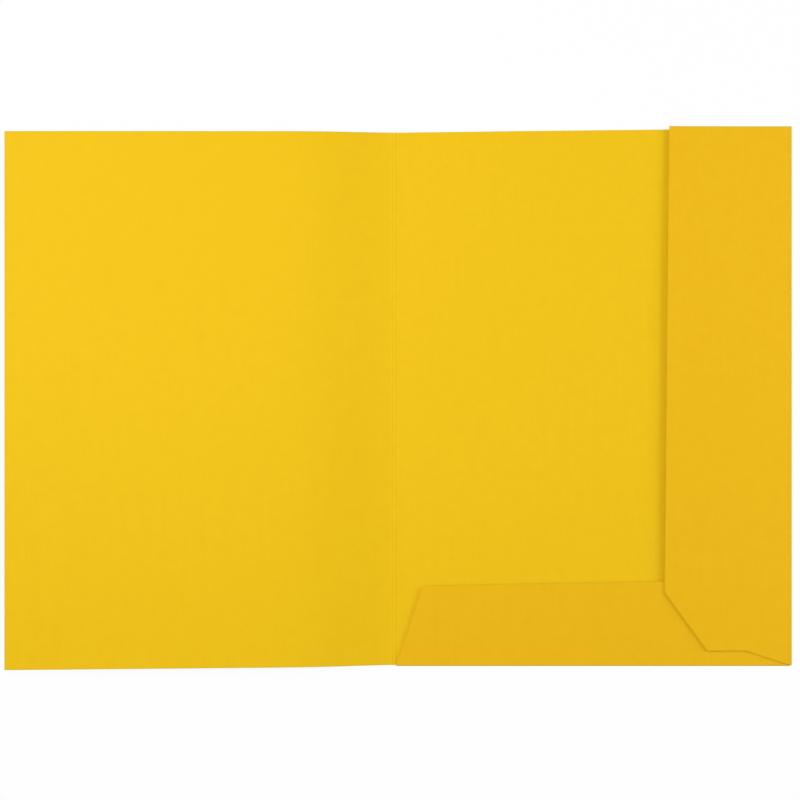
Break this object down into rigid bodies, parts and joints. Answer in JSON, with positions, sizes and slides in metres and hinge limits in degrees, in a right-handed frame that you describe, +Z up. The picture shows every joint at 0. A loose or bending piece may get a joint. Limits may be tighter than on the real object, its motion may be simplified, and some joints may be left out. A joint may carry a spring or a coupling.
{
  "type": "two flap folder",
  "caption": "Card folder for loose A4 sheets: a front cover, a narrow spine and a back panel whose bottom and side flaps fold in over the papers.",
  "frame": {"origin": "middle of the underside of the back panel, which is the face the folder lies on", "axes": "+Z up out of the inside face, +Y towards the open top edge of the pocket, +X from the spine towards the side flap's fold"},
  "size_m": [0.4702, 0.3246, 0.0093],
  "materials": {
    "card_panel": "matte yellow card, dyed all through, uncoated",
    "card_flap": "the same yellow card, a shade deeper where the flaps lie folded in",
    "card_crease": "the same yellow card, pressed and bent along the crease"
  },
  "bodies": {
    "back": {"back_panel": "card_panel", "spine_crease": "card_crease", "bottom_crease": "card_crease", "side_crease": "card_crease"},
    "spine": {"spine_panel": "card_panel", "cover_crease": "card_crease"},
    "cover": {"front_cover": "card_panel"},
    "lower_flap": {"bottom_flap": "card_flap"},
    "outer_flap": {"side_flap": "card_flap"}
  },
  "joints": [
    {"name": "spine_fold", "type": "hinge", "parent": "back", "child": "spine", "pos_m": [-0.11855, 0, 0.0002], "axis": [0, 1, 0], "range_deg": [-1.1, 86.9]},
    {"name": "cover_fold", "type": "hinge", "parent": "spine", "child": "cover", "pos_m": [-0.12115, 0, 0.00025], "axis": [0, 1, 0], "range_deg": [-1.1, 86.9]},
    {"name": "bottom_flap_fold", "type": "hinge", "parent": "back", "child": "lower_flap", "pos_m": [0, -0.16, 0.00055], "axis": [1, 0, 0], "range_deg": [-0.5, 179.5]},
    {"name": "side_flap_fold", "type": "hinge", "parent": "back", "child": "outer_flap", "pos_m": [0.11855, 0, 0.0009], "axis": [0, 1, 0], "range_deg": [-0.5, 179.5]}
  ],
  "couplings": [
    {"joint": "spine_fold", "follows": "cover_fold", "ratio": 1},
    {"joint": "bottom_flap_fold", "follows": "side_flap_fold", "ratio": 1}
  ]
}
